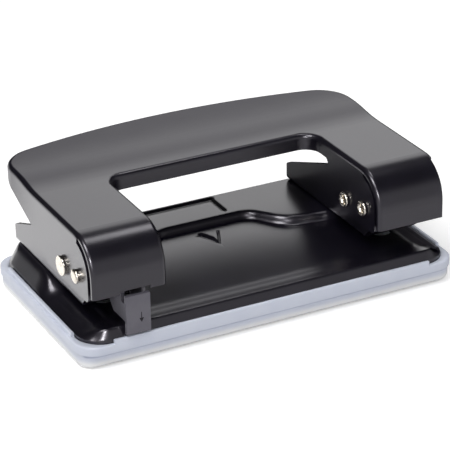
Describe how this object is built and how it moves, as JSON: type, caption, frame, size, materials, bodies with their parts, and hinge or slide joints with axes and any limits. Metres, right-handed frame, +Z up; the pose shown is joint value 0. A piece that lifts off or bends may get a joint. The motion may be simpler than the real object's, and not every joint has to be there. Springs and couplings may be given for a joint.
{
  "type": "two-hole desk punch",
  "caption": "Small manual paper punch: pressed lever with a window, table with curved paper stop, spring-lifted punches, storage lock, clip-on chip tray.",
  "frame": {"origin": "underside of the chip tray, at its centre, on the desk", "axes": "+X along the lever's length to the right, +Y to the rear (handle side), +Z up; the paper goes in from the front, at -Y"},
  "size_m": [0.1066, 0.0658, 0.0345],
  "materials": {
    "black_paint": "satin black paint on pressed steel",
    "milky_plastic": "soft, milky, see-through",
    "nickel": "nickel plated pins, slightly warm",
    "tool_steel": "ground punch steel",
    "spring_steel": "drawn wire and stamped clips",
    "rivet_steel": "rivets painted with the base"
  },
  "bodies": {
    "tray": {"chip_tray": "milky_plastic"},
    "frame": {"base_plate": "black_paint", "left_bracket": "black_paint", "right_bracket": "black_paint", "left_bracket_rivets": "rivet_steel", "right_bracket_rivets": "rivet_steel", "left_spring": "spring_steel", "right_spring": "spring_steel"},
    "lever": {"lever_handle": "black_paint", "left_fulcrum_pin": "nickel", "right_fulcrum_pin": "nickel", "left_drive_pin": "nickel", "right_drive_pin": "nickel"},
    "left_punch_set": {"left_punch": "tool_steel", "left_spring_cap": "spring_steel", "left_punch_clip": "spring_steel"},
    "right_punch_set": {"right_punch": "tool_steel", "right_spring_cap": "spring_steel", "right_punch_clip": "spring_steel"},
    "latch": {"lock_latch": "black_paint"}
  },
  "joints": [
    {"name": "tray_release", "type": "slide", "parent": "tray", "child": "frame", "axis": [0, 0, 1], "range_m": [0, 0.012]},
    {"name": "lever_press", "type": "hinge", "parent": "frame", "child": "lever", "pos_m": [0, -0.0205, 0.0225], "axis": [-1, 0, 0], "range_deg": [0, 17], "stiffness_Nm_per_rad": 0.3, "springref_deg": -11.46},
    {"name": "left_punch_slide", "type": "slide", "parent": "frame", "child": "left_punch_set", "axis": [0, 0, -1], "range_m": [0, 0.0027], "deforming": ["left_spring"]},
    {"name": "right_punch_slide", "type": "slide", "parent": "frame", "child": "right_punch_set", "axis": [0, 0, -1], "range_m": [0, 0.0027], "deforming": ["right_spring"]},
    {"name": "latch_slide", "type": "slide", "parent": "frame", "child": "latch", "axis": [0, 0, 1], "range_m": [0, 0.0026]}
  ],
  "couplings": [
    {"joint": "left_punch_slide", "follows": "lever_press", "m_per_rad": 0.009},
    {"joint": "right_punch_slide", "follows": "lever_press", "m_per_rad": 0.009}
  ]
}
